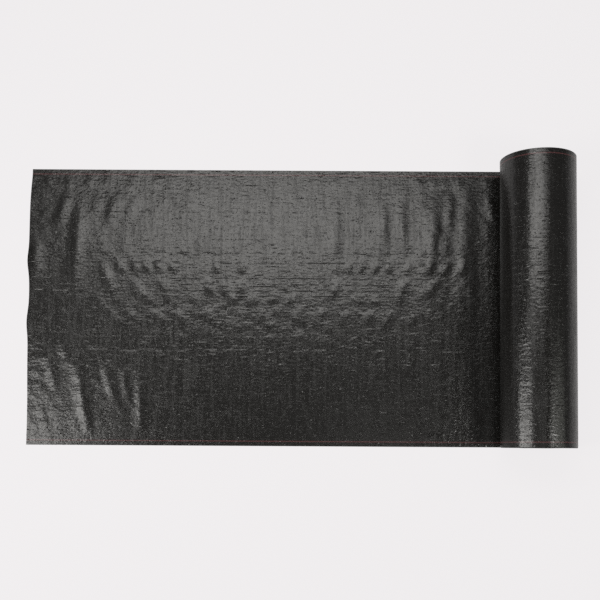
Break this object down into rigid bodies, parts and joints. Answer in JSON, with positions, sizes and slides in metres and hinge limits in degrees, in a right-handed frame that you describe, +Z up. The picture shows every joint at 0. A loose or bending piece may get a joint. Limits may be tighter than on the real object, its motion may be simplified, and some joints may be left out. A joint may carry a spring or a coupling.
{
  "type": "roll of woven geotextile",
  "caption": "Roll of black woven geotextile, partly unrolled: a wound roll with an open bore, lying on its side, and its outer end laid out flat and slightly rippled on the ground.",
  "frame": {"origin": "on the ground, at the middle of the whole footprint", "axes": "+X along the laid cloth from its free end towards the roll, +Y along the axis of the roll, +Z up"},
  "size_m": [1.934, 1, 0.2579],
  "materials": {
    "woven_tape": "black polypropylene tape in a plain weave, with a silky sheen and a dull red marker tape along each edge"
  },
  "bodies": {
    "root": {"geotextile": "woven_tape"}
  },
  "joints": []
}
